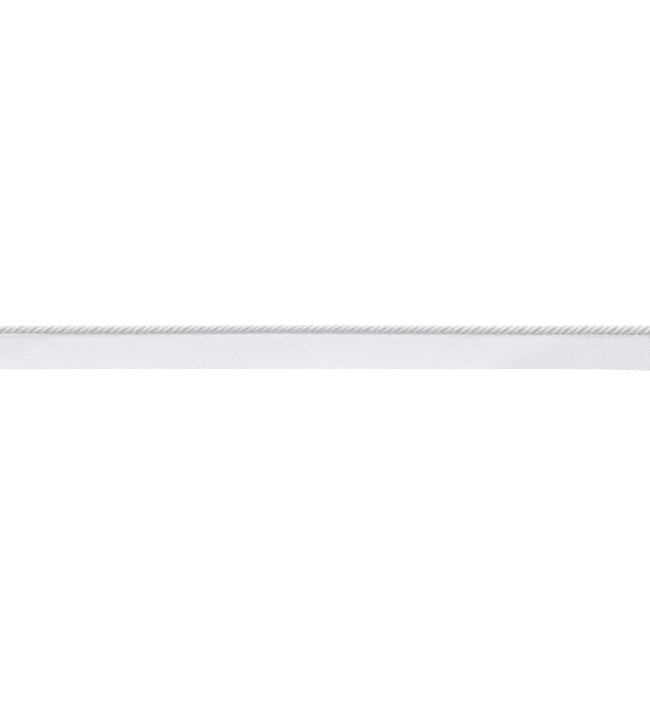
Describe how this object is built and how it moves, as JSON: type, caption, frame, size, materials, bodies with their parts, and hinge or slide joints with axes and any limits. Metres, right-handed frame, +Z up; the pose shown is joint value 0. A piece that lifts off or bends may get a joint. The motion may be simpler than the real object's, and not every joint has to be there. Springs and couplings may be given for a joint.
{
  "type": "length of lip cord",
  "caption": "Straight length of lip cord: a twisted cord sewn along the edge of a flat woven twill tape, which is caught in a seam so that the cord edges it.",
  "frame": {"origin": "middle of the underside of the overall size, on the surface that the length lies on", "axes": "+X along the length, +Y from the lip's free edge towards the cord, +Z up from the surface to the face side"},
  "size_m": [0.25, 0.0171, 0.0055],
  "materials": {
    "cord_yarn": "soft plied cotton yarn laid into a cord, white, matt with a slight lustre on the crests",
    "lip_tape": "close-woven cotton twill tape, cool white, matt, with fine diagonal ribs"
  },
  "bodies": {
    "root": {"twisted_cord": "cord_yarn", "twill_lip": "lip_tape"}
  },
  "joints": []
}
